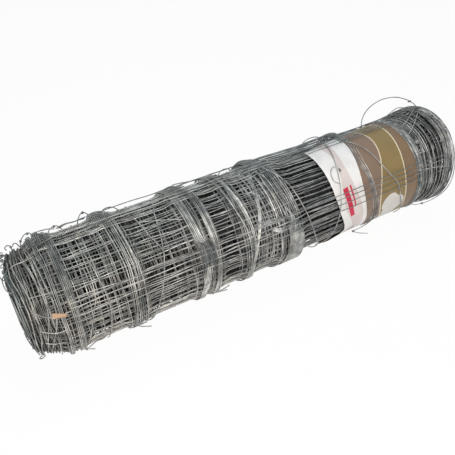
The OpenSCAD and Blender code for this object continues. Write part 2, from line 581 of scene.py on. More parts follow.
def envelope(along, over_label=0.0):
    """Distance from the axis to the outermost wire centre, at a place along the roll."""
    along = np.asarray(along, float)
    waist = BAND_CENTRE - WAIST_DEPTH - (NEAR_DEPTH - WAIST_DEPTH) * (1 - ease(along / NEAR_CONE))
    low = UNDER_LABEL + (ABOVE_LABEL - UNDER_LABEL) * over_label
    inside = ease((along - LABEL_WAIST) / SHOULDER + 1) * ease((FAR_BAND - along) / FAR_SHOULDER + 1)
    waist = waist + (low - waist) * inside
    return waist + (BAND_CENTRE - waist) * climb(along)


def shade_along_roll(along):
    """How bright the wires are along the roll: darkest on the near rim, as painted shade inside the rim,
    and darker from the label to the far rim.

    Each step starts at a place, is spread over a length, both in mm, and changes the brightness.
    """
    level = NEAR_RIM_SHADE
    for start, length, change in BRIGHTNESS_STEPS:
        level = level + change * ease((np.asarray(along) - start * MM) / (length * MM))
    return level


def wound(turn, reach, pressed):
    """Distance from the axis at a turn, where the outer turns lie within a given depth of the outside."""
    turn = np.asarray(turn, float)
    deep = INNER_RADIUS + (reach - pressed - INNER_RADIUS) * turn / BORDER
    shallow = reach - pressed * (TURNS - turn) / OUTER_TURNS
    return np.where(turn < BORDER, deep, shallow)


def angle_at(turn):
    return END_ANGLE + 360.0 * (TURNS - np.asarray(turn, float))


print("winding:", TURNS, "turns,", OUTER_TURNS, "of them drawn tight")

# %% [markdown]
# ## Line wires
# The fence has sixteen line wires, each one long spiral. From turn to turn a wire works to and fro round
# its place, so that it fills a zone of the roll. The last turns of some wires lie side by side on a band
# and make the bright strips. Their edges were read from the photo at a few angles, because the strips lean
# and fan out. Round the roll the strips carry painted highlight and painted shade. The inner turns lie
# anywhere. They are swept with fewer sides and a little thicker, because only glimpses of them show
# through the gaps, where they stand for wires and knots together, and they take a darker copy of the wire
# material as painted shade. The inner turns of the two edge wires show as rings on the ends of the roll,
# so they keep the outer wires' lighter material.


# %% Where each line wire runs
def line_wire(
    place, spread, strip_turns=0, split=0.0, edges=(), wave=1.1, kink=0.35, drop=0.0, pressed=8.0,
    painted_light=(), calm=0.3,
):
    """One line wire, in mm: its place, the zone its turns fill, and the strip of its last turns.

    Each edge of the strip is an angle with the strip's left and right side there. Each entry of the
    painted light is an angle with the brightness painted on the strip there, as painted highlight and
    painted shade. On the strip the wire's waves shrink to the calm share.
    """
    return dict(
        place=place, spread=spread, strip=strip_turns, split=split, edges=edges, wave=wave, kink=kink,
        drop=drop, pressed=pressed, painted_light=painted_light, calm=calm,
    )


LINE_WIRES = [
    line_wire(7, 6, wave=4.0, kink=1.6, pressed=48),
    line_wire(22, 11, wave=2.6, kink=1.0, drop=4.0, pressed=22),
    line_wire(
        54, 25, 3, 0.0, [(-120, 70, 80), (20, 72, 82), (80, 74, 84), (130, 68, 78)],
        wave=3.0, kink=1.1, pressed=15, painted_light=[(-40, 1.0), (40, 0.95), (90, 0.75), (180, 0.8)],
    ),
    line_wire(
        103, 19, 4, 0.0, [(-100, 95, 110), (-25, 92, 105), (46, 98, 112), (86, 99, 114), (130, 96, 110)],
        pressed=15, painted_light=[(-40, 1.1), (10, 0.95), (45, 0.8), (70, 0.65), (130, 0.75), (180, 0.8)],
    ),
    line_wire(168, 48, wave=1.8, kink=0.6, drop=2.0),
    line_wire(
        239, 33, 7, 0.0, [(-60, 216, 250), (10, 222, 256), (45, 230, 262), (75, 226, 258), (130, 224, 256)],
        wave=2.2, kink=0.7, pressed=15, calm=0.8,
        painted_light=[(-40, 0.8), (10, 0.85), (30, 1.15), (58, 1.2), (80, 0.9), (120, 0.75), (180, 0.8)],
    ),
    line_wire(325, 58, wave=1.8, kink=0.6, drop=5.5),
    line_wire(
        404, 24, 5, 0.0,
        [(-60, 391, 408), (-15, 390, 407), (7, 399, 419), (24, 401, 426), (36, 403, 428), (46, 397, 417),
         (80, 394, 413), (180, 394, 412)],
        pressed=16,
        painted_light=[(-40, 1.1), (0, 1.45), (10, 1.45), (17, 0.5), (40, 0.5), (47, 1.75), (66, 1.7), (85, 0.9),
              (180, 0.8)],
    ),
    line_wire(
        443, 22, 4, 0.0,
        [(-60, 429, 446), (-16, 428, 438), (10, 436, 447), (42, 436, 452), (75, 434, 452), (180, 434, 452)],
        pressed=16, painted_light=[(-40, 1.0), (20, 1.0), (45, 1.65), (66, 1.6), (88, 0.85), (180, 0.8)],
    ),
    line_wire(
        527, 30, 5, 0.4,
        [(-60, 520, 538), (-7, 526, 537), (20, 527, 544), (40, 526, 546), (54, 519, 543), (75, 513, 537),
         (110, 508, 532), (180, 510, 534)],
        wave=1.6, pressed=14, calm=0.6,
        painted_light=[(-40, 1.0), (20, 1.0), (50, 1.45), (75, 1.3), (110, 0.85), (180, 0.8)],
    ),
    line_wire(
        595, 34, 3, 0.0,
        [(-60, 538, 552), (-15, 528, 536), (1, 530, 538), (14, 540, 548), (27, 554, 562), (41, 567, 576),
         (55, 577, 586), (88, 597, 606), (126, 624, 640), (180, 610, 630)],
        drop=0.5, painted_light=[(-40, 1.0), (30, 1.4), (60, 1.3), (100, 0.9), (180, 0.8)],
    ),
    line_wire(
        648, 29, 9, 0.0,
        [(-60, 630, 676), (-15, 630, 680), (20, 627, 680), (41, 624, 677), (60, 620, 673), (78, 620, 668),
         (112, 634, 662), (180, 630, 668)],
        wave=2.6, kink=0.8, pressed=18, calm=0.8,
        painted_light=[(-40, 1.0), (10, 0.8), (16, 0.5), (34, 0.5), (41, 1.3), (60, 1.2), (78, 0.8), (112, 0.7),
              (180, 0.8)],
    ),
    line_wire(
        917, 9, 4, 0.0,
        [(-60, 920, 944), (-12, 917, 939), (4, 910, 933), (22, 904, 923), (37, 905, 920), (49, 901, 918),
         (63, 891, 915), (84, 901, 921), (110, 908, 929), (180, 905, 935)],
        wave=2.2, kink=0.8, calm=0.9, painted_light=[(-40, 0.8), (20, 0.7), (60, 1.0), (90, 0.75), (180, 0.8)],
    ),
    line_wire(
        1108, 26, 7, 0.0, [(-60, 1070, 1092), (60, 1070, 1092), (130, 1068, 1092)],
        wave=2.4, kink=0.8, pressed=10, painted_light=[(-40, 0.7), (20, 0.6), (50, 1.0), (130, 1.0), (180, 0.8)],
    ),
    line_wire(1146, 42, wave=2.4, kink=0.8, pressed=12),
    line_wire(1185, 17, wave=3.0, kink=1.2, pressed=13),
]
EVEN_SPACING = ROLL_LENGTH / MM / len(LINE_WIRES)
EDGE_WIRES = (0, len(LINE_WIRES) - 1)
END_MARGIN = 1.2
DARKEST_ZINC = 0.3


def drift(index):
    """Where each turn of a wire lands in its zone, from -1 to 1, to and fro with a seeded slip."""
    dice = np.random.default_rng(SEED["drift"] + index)
    count = np.arange(TURNS + 2)
    sweep = 2 * np.abs(2 * ((count / SWEEP_TURNS + dice.uniform()) % 1.0) - 1) - 1
    return np.clip(sweep + dice.uniform(-0.3, 0.3, len(count)), -1.0, 1.0)


def on_strip(wire, turn, before, over):
    """0 on the turns under a wire's strip and 1 on it, with a change that starts some turns before it."""
    return ease((turn - (TURNS - wire["strip"] - before)) / over)


def strip_place(wire, turn):
    """Distance along the roll, in mm, on the strip that a wire's last turns make."""
    angles, left, right = np.array(wire["edges"], float).T
    low = read_round(angle_at(turn), angles, left)
    high = read_round(angle_at(turn), angles, right)
    share = (turn - (TURNS - wire["strip"])) / wire["strip"]
    share = share * (1 - wire["split"]) + wire["split"] * ease((share - 0.45) / 0.1)
    return low + (high - low) * np.clip(share, 0.0, 1.0)


def strip_painted_light(wire, turn):
    """Painted highlight and painted shade of the strip round the roll, 1 on the turns before it."""
    if not wire["painted_light"]:
        return np.ones_like(turn)
    level = read_round(angle_at(turn), *np.array(wire["painted_light"], float).T)
    return 1 + (level - 1) * on_strip(wire, turn, before=1.0, over=1.0)


def line_wire_along(index, turn):
    """Distance from the near end of a line wire at a turn, in metres."""
    wire = LINE_WIRES[index]
    turn = np.asarray(turn, float)
    loose = wire["place"], wire["spread"]
    if index not in EDGE_WIRES:
        loose = (index + 0.5) * EVEN_SPACING, EVEN_SPACING
    deep = np.arange(TURNS + 2) < BORDER
    zone = np.where(deep, loose[1], wire["spread"])
    places = np.where(deep, loose[0], wire["place"]) + drift(index) * zone
    whole = np.floor(turn).astype(int)
    place = places[whole] + (places[whole + 1] - places[whole]) * ease(turn - whole)
    ripple = wire["wave"] * wander(turn * 4.0, SEED["wave"] + index)
    ripple = ripple + wire["kink"] * wander(turn * 15.0, SEED["kink"] + index)
    if wire["strip"]:
        place = place + (strip_place(wire, turn) - place) * on_strip(wire, turn, before=0.0, over=0.2)
        ripple = ripple * (1 + (wire["calm"] - 1) * on_strip(wire, turn, before=0.5, over=0.5))
    return np.clip(place + ripple, END_MARGIN, ROLL_LENGTH / MM - END_MARGIN) * MM


def line_wire_radius(index, turn, along):
    """Distance of a line wire from the axis: wound within its depth, and on the strip flat on the outside."""
    wire = LINE_WIRES[index]
    turn = np.asarray(turn, float)
    flat = on_strip(wire, turn, before=0.3, over=0.3) if wire["strip"] else np.zeros_like(turn)
    reach = envelope(along, flat) - wire["drop"] * MM * (1 - flat) * (1 - climb(along))
    settled = wound(turn, reach, wire["pressed"] * MM)
    ripple = 0.8 * wander(turn * 3.0, SEED["swell"] + index) + 0.4 * wander(turn * 13.0, SEED["dent"] + index)
    return settled + (reach - settled) * flat + ripple * MM * (1 - 0.6 * flat)


def line_wire_path(index, first_turn, last_turn, steps_a_turn):
    turn = np.linspace(first_turn, last_turn, int((last_turn - first_turn) * steps_a_turn) + 1)
    along = line_wire_along(index, turn)
    shade = 0.9 + 0.42 * wander(turn * 1.7, SEED["shade"] + index)
    shade = np.maximum(shade + 0.2 * wander(turn * 9.0, SEED["fleck"] + index), DARKEST_ZINC)
    # The wire's own patchy tone, times painted shade along the roll and painted highlight and shade on its
    # strip.
    shade = shade * shade_along_roll(along) * strip_painted_light(LINE_WIRES[index], turn)
    return with_shade(on_roll(along, angle_at(turn), line_wire_radius(index, turn, along)), shade)


# %% Sweep the line wires
HALF_WAY = 400
OUTER_STEPS = 44
INNER_STEPS = 22
EDGE_STEPS = 30
WIRE_SIDES = 6
INNER_SIDES = 4
EDGE_SIDES = 5
wires = range(len(LINE_WIRES))
outer_turns = [line_wire_path(w, BORDER, TURNS, OUTER_STEPS) for w in wires]
near_half = [outer_turns[w] for w in wires if LINE_WIRES[w]["place"] < HALF_WAY]
far_half = [outer_turns[w] for w in wires if LINE_WIRES[w]["place"] >= HALF_WAY]
inner = [line_wire_path(w, 0.0, BORDER, INNER_STEPS) for w in wires if w not in EDGE_WIRES]
edge_turns = [line_wire_path(w, 0.0, BORDER, EDGE_STEPS) for w in EDGE_WIRES]
roll_pieces = [
    draw_wires("line_wires_near", near_half, WIRE, WIRE_SIDES, BRIGHT_WIRE),
    draw_wires("line_wires_far", far_half, WIRE, WIRE_SIDES, BRIGHT_WIRE),
    draw_wires("line_wires_inner", inner, INNER_WIRE, INNER_SIDES, SHADED_WIRE),
    draw_wires("edge_turns", edge_turns, INNER_WIRE, EDGE_SIDES, BRIGHT_WIRE),
]

# %% [markdown]
# ## Stays
# A stay is tied to every line wire, one each 150 mm of fence. Going inwards each turn is shorter, so the
# stays of neighbouring turns drift past each other, slide together and bunch up, with black gaps between
# the bunches. On the bare lengths the outer turns press into a thin layer. On the bands the stays pass
# under the strips. The stays of the last turns lie on top of everything, pulled straight from band to
# band and over the label, at the angles that the photo shows.

# %% Where each stay falls
STAY_SPACING = 150 * MM
FIRST_STAY = 0.05
STEPS_A_TURN = 90
LAST_TURNS = 2.2
STAY_PRESSED = 4.5 * MM
BUNCHES = 46
BUNCHING = 0.5
BUNCHED_TURNS = 5.0
STAY_END = 1.5 * MM
STAY_STEP = 21 * MM
INNER_STAY_STEP = 40 * MM
NEAR_HOOPS = 58 * MM
END_SINK = 5 * MM
BAND_SINK = 4 * MM
TOP_STAY_POSTS = [700, 780, 1062, 1084, 1100, 1186]
TOP_STAY_STEP = 20 * MM
START_SINK = 5 * MM
STOP_SINK = 4 * MM
SHADED_FROM = 740 * MM
SHADED_OVER = 60 * MM
SHADED_SHARE = 0.35
TOP_STAYS = [
    (16, 96), (23, 96), (29, 96), (34, 96), (96, 220), (101, 96), (108, 392), (138, 430), (141, 430),
    (171, 96), (203, 96), (236, 96), (268, 96), (300, 96),
]
fine_turn = np.linspace(0.0, TURNS, TURNS * STEPS_A_TURN + 1)
mean_radius = wound(fine_turn, BAND_CENTRE, STAY_PRESSED)
fence_length = np.concatenate(
    [[0.0], np.cumsum(np.pi * (mean_radius[1:] + mean_radius[:-1]) * np.diff(fine_turn))]
)
STAY_COUNT = int(fence_length[-1] / STAY_SPACING)
stay_turns = np.interp(
    fence_length[-1] - (np.arange(STAY_COUNT) + FIRST_STAY) * STAY_SPACING, fence_length, fine_turn
)
print("fence", round(fence_length[-1], 1), "m long with", STAY_COUNT, "stays")


def bunched(angle):
    """The angle of a stay after it has slid towards its bunch."""
    phase = angle * BUNCHES / 360.0 + 0.3 * wander(angle / 70.0, SEED["bunch"])
    return angle - BUNCHING * 360.0 / BUNCHES * np.sin(2 * np.pi * phase) / (2 * np.pi)


def stay_along(turn, step):
    """Places along a stay, from the near edge wire to the far edge wire."""
    first, last = (float(line_wire_along(w, turn)) for w in EDGE_WIRES)
    first, last = first - STAY_END, last + STAY_END
    return np.linspace(first, last, int((last - first) / step) + 1)


def stay_radius(along, turn):
    """Distance of a stay from the axis: it passes under the strips on the bands and under both ends."""
    ends = np.maximum(1 - ease((along - NEAR_HOOPS) / SHOULDER), ease((along - FAR_BAND) / SHOULDER))
    held = np.maximum(climb(along), ends)
    return wound(turn, envelope(along) - END_SINK * ends, STAY_PRESSED + BAND_SINK * held) - WIRE * held


def stay_angle(stay, along):
    """Where a stay lies round the roll: at its bunch, a little askew and bowed."""
    dice = np.random.default_rng(SEED["stay"] + stay)
    lean, shift = dice.normal(0.0, 1.8), dice.normal(0.0, 0.5)
    centre = float(angle_at(stay_turns[stay]))
    centre += (bunched(centre) - centre) * ease((stay_turns[stay] - BORDER) / BUNCHED_TURNS) + shift
    bow = 1.1 * wander(along / (160 * MM), SEED["stay_bow"] + stay)
    return centre + lean * (along / ROLL_LENGTH - 0.5) * 2 + bow


def stay_path(stay, step):
    turn = stay_turns[stay]
    along = stay_along(turn, step)
    radius = stay_radius(along, turn) + 0.5 * MM * wander(along / (60 * MM), SEED["stay_dent"] + stay)
    shade = np.random.default_rng(SEED["stay_shade"] + stay).uniform(0.56, 1.28)
    shade = shade + 0.15 * wander(along / (150 * MM), SEED["stay_fleck"] + stay)
    # Painted shade along the roll, darkest on the near rim.
    return with_shade(on_roll(along, stay_angle(stay, along), radius), shade * shade_along_roll(along))


def top_stay_path(angle, first, number):
    """A stay of the last turns, straight from band to band on top of the wires, shaded over the label."""
    dice = np.random.default_rng(SEED["top_stay"] + number)
    band_posts = [post for band in HOOP_BANDS for post in band if post > first]
    posts = np.array([first] + band_posts + TOP_STAY_POSTS) * MM
    heights = envelope(posts, 1.0) + WIRE
    heights[0] -= START_SINK
    heights[-1] -= STOP_SINK
    along = np.arange(posts[0], posts[-1], TOP_STAY_STEP)
    dent = 0.5 * MM * wander(along / (80 * MM), SEED["top_stay_dent"] + number)
    lean = dice.normal(0.0, 0.8) * (along / ROLL_LENGTH - 0.75)
    bow = 0.6 * wander(along / (200 * MM), SEED["top_stay_bow"] + number)
    points = on_roll(along, angle + lean + bow, np.interp(along, posts, heights) + dent)
    shadow = 1 - SHADED_SHARE * ease((along - SHADED_FROM) / SHADED_OVER)
    return with_shade(points, dice.uniform(0.75, 1.1) * shadow * shade_along_roll(along))


body_stays = [s for s in range(STAY_COUNT) if stay_turns[s] < TURNS - LAST_TURNS]
outer_stays = [s for s in body_stays if stay_turns[s] > BORDER]
inner_stays = [s for s in body_stays if stay_turns[s] <= BORDER]
top_stays = [top_stay_path(a, f, i) for i, (a, f) in enumerate(TOP_STAYS)]
outer_paths = [stay_path(s, STAY_STEP) for s in outer_stays]
inner_paths = [stay_path(s, INNER_STAY_STEP) for s in inner_stays]
roll_pieces += [
    draw_wires("stays_outer", outer_paths, WIRE, WIRE_SIDES, BRIGHT_WIRE),
    draw_wires("stays_inner", inner_paths, INNER_WIRE, INNER_SIDES, SHADED_WIRE),
    draw_wires("stays_on_top", top_stays, WIRE, WIRE_SIDES, BRIGHT_WIRE),
]

# %% [markdown]
# ## Knots
# A short wire is wrapped round every crossing and holds the fence together. At this scale a knot is a
# small tilted ring round both wires. Points mark the crossings, an attribute on them says how each ring is
# turned, and a Geometry Nodes tree puts a ring on each point. Only the outer turns get knots, because
# deeper ones are lost between the wires.


# %% Knot tree
KNOT_RING_SIDES = 8
KNOT_WIRE_SIDES = 4


def make_knot_tree():
    tree, given, out = new_tree(
        "wrapped_knots", (("Ring Diameter", "Float"), ("Wire Diameter", "Float"), ("Material", "Material"))
    )
    ring = add_circle(tree, given.outputs["Ring Diameter"], KNOT_RING_SIDES)
    section = add_circle(tree, given.outputs["Wire Diameter"], KNOT_WIRE_SIDES)
    wrap = add_node(tree, "GeometryNodeCurveToMesh", {"Curve": ring, "Profile Curve": section})
    turn = add_node(tree, "GeometryNodeInputNamedAttribute", {"Name": "knot_turn"}, data_type="FLOAT_VECTOR")
    rotation = add_node(tree, "FunctionNodeEulerToRotation", {"Euler": turn.outputs["Attribute"]})
    placed = {
        "Points": given.outputs["Geometry"], "Instance": wrap.outputs["Mesh"],
        "Rotation": rotation.outputs["Rotation"],
    }
    knots = add_node(tree, "GeometryNodeInstanceOnPoints", placed)
    finish_tree(tree, knots.outputs["Instances"], given, out)
    return tree


KNOTS = make_knot_tree()
print("tree", KNOTS.name)

# %% Tie the knots
KNOT_TURNS = 14
KNOT_RING = 5.0 * MM
KNOT_WIRE = 1.8 * MM
KNOT_DEPTH = 1.0
KNOT_SHADE = 0.6


def stay_knots(stay):
    """Where a stay crosses the line wires: distance along, degrees and distance from the axis."""
    turn = stay_turns[stay]
    along = np.array([float(line_wire_along(w, turn)) for w in wires])
    return np.stack([along, stay_angle(stay, along), stay_radius(along, turn)], axis=1)


def knot_mesh(name, places):
    """One point for each knot, with the turn of its ring stored on the point."""
    depth = (envelope(places[:, 0]) - places[:, 2]) / MM + KNOT_DEPTH
    points, turns = [], []
    for along, angle, radius in places:
        point = on_roll(along, angle, radius)
        point[2] = max(point[2], KNOT_RING / 2 + WIRE / 2)
        points.append(point)
        lean = Matrix.Rotation(math.radians(90 - angle), 3, "X") @ Matrix.Rotation(math.radians(45), 3, "Z")
        turns.append((lean @ Matrix.Rotation(math.radians(90), 3, "Y")).to_euler())
    mesh = bpy.data.meshes.new(name + "_points")
    mesh.vertices.add(len(points))
    mesh.vertices.foreach_set("co", np.array(points, np.float32).ravel())
    carry(mesh, depth=depth, shade=KNOT_SHADE * shade_along_roll(places[:, 0]))
    attribute = mesh.attributes.new("knot_turn", "FLOAT_VECTOR", "POINT")
    attribute.data.foreach_set("vector", np.array(turns, np.float32).ravel())
    return mesh


def tie_knots(name, places):
    values = {"Ring Diameter": KNOT_RING, "Wire Diameter": KNOT_WIRE, "Material": BRIGHT_WIRE}
    return run_tree(name, knot_mesh(name, places), KNOTS, values)


knotted = [s for s in outer_stays if stay_turns[s] > TURNS - KNOT_TURNS]
roll_pieces.append(tie_knots("knots", np.concatenate([stay_knots(s) for s in knotted])))

# %% [markdown]
# ## Loose wires
# Here and there a line wire has sprung out of the winding: small loops along the top, a big one over the
# far end, single wires that run askew over the bands, and cut ends twisted round a knot along the lower
# edge. Along the top some turns stand up from their bands, and stays bridge straight from the fifth band
# to the strap over the label. These are not a rule but this one roll's own marks, so most are bent
# through a few places read from the photo and smoothed. They are drawn a little thicker than the wound
# wires, because each has to show by itself.


# %% Bend a wire through given places
LOOSE_SHADE = 0.85
LOOP_SHADE = 0.5
BULGE_SHADE = 0.6
# Painted glint: a few short wires are made far brighter than the rest.
PAINTED_GLINT = 1.6
TWIST_SHADE = 0.45
CURVE_STEPS = 9
BRIDGE_STEPS = 5
TWIST_STEPS = 8


def smooth_path(places, shade=LOOSE_SHADE, steps=CURVE_STEPS):
    """A curve through places given as mm along, degrees and mm from the axis."""
    places = np.array(places, float)
    ends = np.concatenate([[2 * places[0] - places[1]], places, [2 * places[-1] - places[-2]]])
    t = np.arange(steps)[:, None] / steps
    parts = []
    for a, b, c, d in zip(ends[:-3], ends[1:-2], ends[2:-1], ends[3:]):
        parts.append(
            0.5 * (2 * b + (c - a) * t + (2 * a - 5 * b + 4 * c - d) * t**2 + (3 * b - a - 3 * c + d) * t**3)
        )
    curve = np.concatenate(parts + [places[-1:]])
    return with_shade(on_roll(curve[:, 0] * MM, curve[:, 1], curve[:, 2] * MM), shade)


def twist(along, angle, radius, turns=3, length=7.5, width=1.9):
    """A wire end wrapped round a hoop: a short helix along the hoop."""
    t = np.linspace(0.0, 1.0, turns * TWIST_STEPS + 1)
    spin = 2 * np.pi * turns * t
    points = on_roll(
        (along + width * np.sin(spin)) * MM,
        angle + np.degrees(length * (t - 0.5) / radius),
        (radius + width * np.cos(spin)) * MM,
    )
    return with_shade(points, TWIST_SHADE)


TOP_LOOPS = [
    [(51, 132, 121), (61, 134, 141), (74, 136, 151), (84, 136, 149), (88, 138, 136), (86, 142, 124)],
    [(118, 131, 126), (122, 134, 138), (134, 136, 146), (145, 136, 145), (153, 137, 134), (154, 141, 124)],
    [(188, 132, 132), (195, 135, 144), (207, 136, 155), (218, 137, 151), (224, 141, 138)],
    [(240, 133, 130), (247, 135, 137), (261, 136, 147), (280, 136, 145), (296, 139, 132)],
    [(243, 136, 143), (260, 136, 144.5), (327, 136, 144.7), (379, 136, 143), (435, 136, 145)],
    [(435, 138, 145), (450, 138, 148.5), (490, 138, 143.5), (531, 139, 138)],
    [(88, 131, 144), (100, 131, 146), (112, 131, 145.5), (124, 131, 144), (136, 132, 140)],
    [(140, 134, 139), (152, 132, 142), (162, 131, 143), (178, 131, 141.5), (192, 131, 141),
     (208, 132, 140)],
    [(146, 134, 138), (158, 132, 141), (168, 131, 141.8), (182, 131, 140.4), (196, 131, 142),
     (212, 132, 143)],
    [(558, 134, 125), (565, 135, 133), (584, 136, 143.5), (601, 136, 141), (610, 138, 127)],
    [(826, 130, 128), (842, 136, 141.5), (862, 136, 147.5), (883, 136, 147), (898, 138, 143),
     (908, 142, 131)],
    [(1122, 134, 126), (1128, 135, 130), (1152, 134, 139), (1180, 131, 147), (1195, 127, 143)],
]
BIG_LOOP = [
    (1042, 136, 120), (1044, 136, 128), (1060, 135, 155), (1090, 133, 176), (1128, 129, 186),
    (1160, 123, 181), (1182, 116, 166), (1192, 110, 152), (1194, 106, 143), (1190, 100, 140),
]
ASKEW_WIRES = [
    [(159, 96, 136), (159, 77, 139), (157, 59, 139), (157, 46, 139), (151, 29, 139), (134, 12, 139),
     (112, -16, 142)],
    [(160, 75, 139), (167, 61, 138), (171, 47, 138), (175, 32, 138), (176, 14, 138), (170, -3, 138),
     (160, -40, 138)],
    [(280, 112, 137), (300, 82, 139), (308, 65, 139), (322, 48, 140), (314, 35, 140), (297, 13, 139),
     (277, -13, 139), (262, -50, 140)],
    [(364, 112, 138), (353, 99, 139), (339, 79, 139), (331, 61, 139), (322, 46, 140.5)],
    [(302, 82, 139), (346, 76, 139), (392, 68, 143)],
    [(640, 104, 142), (655, 86, 143), (674, 69, 142), (684, 54, 140), (692, 39, 139), (702, 22, 139),
     (716, 2, 140), (730, -13, 141), (736, -22, 139), (730, -27, 136), (716, -24, 133)],
    [(905, 118, 131), (880, 112, 133), (859, 102, 134), (841, 78, 134), (827, 61, 134), (816, 44, 134),
     (807, 28, 134), (800, 15, 134), (790, -1, 134), (780, -20, 134), (764, -45, 131)],
    [(833, 63, 134), (820, 66, 133), (806, 60, 133), (804, 51, 133), (816, 46, 134)],
    [(913, 94, 133), (922, 87, 134), (934, 78, 134), (947, 63, 135), (957, 51, 135), (972, 38, 135),
     (995, 23, 135), (1008, 4, 135), (1030, -22, 136), (1036, -40, 134)],
    [(1081, 29, 134), (1082, 13, 134), (1080, -1, 134), (1084, -22, 134), (1090, -45, 134)],
    [(28, 37, 126), (34, 35, 132), (43, 32, 139), (52, 30, 144), (62, 28, 146)],
    [(1074, 27, 133), (1082, 26, 134), (1123, 24, 138), (1169, 20, 143), (1186, 18, 141)],
    [(1110, -44, 131), (1130, -43, 141), (1165, -38, 147), (1188, -28, 147), (1198, -14, 147),
     (1200, 8, 146), (1200, 30, 142), (1200, 50, 139), (1199, 70, 138), (1197, 90, 139), (1194, 106, 141),
     (1186, 118, 139)],
    [(38, 101, 122), (47, 82, 129), (52, 63, 131), (56, 45, 132), (52, 28, 131), (39, 8, 127),
     (24, -22, 122)],
    [(59, 102, 133), (65, 79, 136), (67, 58, 136), (71, 38, 137), (63, 21, 136), (47, 2, 131),
     (30, -24, 124)],
    [(20, 99, 123), (22, 86, 126), (26, 70, 128), (31, 55, 129), (32, 32, 129), (27, 10, 127),
     (18, -7, 124), (12, -34, 121)],
    [(14, 96, 122), (14, 74, 124), (19, 56, 126), (21, 34, 126), (16, 10, 124), (9, -20, 121)],
    [(18, 87, 124), (28, 87, 129), (46, 86, 134), (67, 86, 139)],
    [(30, 51, 126), (46, 50, 133), (61, 49, 137), (77, 48, 140)],
    [(30, 17, 126), (39, 15, 132), (56, 12, 137), (75, 12, 140)],
    [(30, 1, 126), (40, 0, 132), (53, -1, 136), (67, -2, 138)],
    [(623, 93, 141.5), (632, 80, 143), (636, 60, 143.3), (642, 45, 143.3), (652, 36, 143)],
    [(600, 73, 139), (604, 66, 140), (606, 54, 141), (614, 41, 142), (628, 32, 142.5)],
    [(618, 76, 142), (624, 62, 143), (632, 49, 143.3), (638, 36, 142.5)],
    [(666, 95, 142.5), (662, 76, 143.4), (658, 61, 143.6), (665, 47, 143.6), (671, 37, 143)],
    [(592, 27, 139), (592, 25, 139.5), (591, 10, 140), (582, -7, 139)],
    [(552, 38, 141), (593, 38, 141.5), (620, 35, 143)],
    [(548, 34, 141), (600, 33, 141.5), (625, 33, 143)],
    [(1084, 84, 134), (1108, 88, 135), (1140, 94, 140), (1176, 101, 143)],
    [(1092, 72, 134), (1120, 79, 137.5), (1158, 90, 143)],
]
RIM_CURLS = [
    [(6, 128, 119), (-2, 130, 122), (-6, 133, 126), (-1, 135, 129), (5, 134, 125)],
    [(4, 112, 118), (-6, 114, 121), (-8, 118, 124), (1, 121, 125), (6, 122, 121)],
    [(8, 94, 118), (-6, 98, 121), (-9, 105, 123), (-5, 111, 124), (8, 114, 122)],
    [(7, 76, 118), (-3, 80, 121), (-6, 88, 123), (-5, 95, 123), (7, 101, 121)],
    [(6, 62, 119), (-1, 66, 121), (-3, 73, 122), (-1, 80, 122), (8, 85, 121)],
    [(14, 104, 122), (2, 103, 124), (-4, 107, 126), (2, 111, 126), (14, 110, 124)],
    [(4, 84, 120), (9, 60, 121), (13, 36, 122), (12, 14, 121), (6, -12, 119)],
    [(10, 66, 122), (8, 44, 121), (9, 22, 121), (13, 4, 121), (12, -20, 119)],
    [(2, 58, 119), (4, 40, 120), (7, 18, 120), (5, -4, 119), (4, -24, 118)],
    [(16, 134, 124), (14, 136, 131), (22, 137, 134), (30, 137, 130), (31, 139, 124)],
    [(36, 135, 129), (40, 137, 136), (48, 137, 137), (52, 139, 129)],
    [(4, -36, 118), (-2, -40, 121), (2, -44, 124), (10, -45, 122)],
]
WIRE_ENDS = [
    [(156, -22, 138), (138, -43, 136), (120, -43, 141), (108, -43, 144), (116, -43, 147), (126, -44, 152)],
    [(272, -24, 139), (253, -43, 132), (240, -43, 137), (234, -43, 140), (246, -43, 148), (266, -44, 156)],
    [(476, -30, 140), (456, -43, 143), (444, -43, 142), (439, -43, 142), (456, -43, 145), (478, -44, 148)],
    [(930, -22, 134), (918, -36, 136), (905, -43, 138), (890, -43, 139), (906, -43, 150), (934, -44, 161)],
]
LOOSE_WIRE = 2.5 * MM
TANGLED = 16
TANGLE_ALONG = ((630, 648), (660, 680))
TANGLE_ANGLES = ((13, 20), (30, 38))
TANGLE_FOOT = 142
TANGLE_TOP = 144.2
# Short wires side by side that carry a painted glint.
GLINT_WIRES = [
    [(594, 28, 141), (606, 26, 143.2), (619, 23, 142)],
    [(595, 27, 141), (607, 25, 143.4), (620, 22, 142)],
    [(597, 26, 141), (608, 24, 143.2), (617, 22, 142)],
    [(596, 29, 141), (607, 27, 143.3), (618, 25, 142)],
    [(593, 26.5, 141), (605, 24.5, 143.6), (617, 21.5, 142)],
    [(598, 25, 141), (609, 23, 143.3), (618, 21, 142)],
]
TWISTS = [
    (108, -43, 144), (234, -43, 140), (439, -43, 142), (890, -43, 139), (1044, 136, 130), (1188, 113, 158),
    (1148, -42, 145), (834, 60, 134), (78, 136, 150), (138, 136, 146), (210, 136, 155), (322, 47, 141),
    (2, 125, 120), (2, 108, 120), (3, 88, 120), (30, 120, 129), (58, 128, 138), (44, 10, 134), (70, 5, 139),
    (75, -4, 140),
]
BULGED_TURNS = [
    (83, 145), (87, 146.5), (91, 147.5), (95, 146.5), (215, 144), (219, 145.5), (223, 146.3), (227, 146.8),
    (231, 146.8), (235, 146.6), (239, 146), (243, 145), (414, 144), (418, 145), (422, 145.8), (426, 146),
    (430, 145.2), (435, 144), (620, 145), (624, 147), (628, 148.6), (632, 149.4), (636, 149.2), (640, 148.4),
    (645, 147.4), (650, 146.4), (656, 145.4), (904, 141.5), (910, 142.6), (916, 143), (922, 142),
]
BRIDGE_STAYS = 18
BRIDGE_FROM = 113
BRIDGE_SPAN = 30
BRIDGE_MIDDLE = 800
BRIDGE_FLOOR = 129
BRIDGE = [
    (640, 141), (690, 142.5), (730, 141), (780, 139.5), (810, 138.5), (840, 140), (880, 141.5), (915, 141),
    (940, 134), (970, 128), (1010, 126),
]


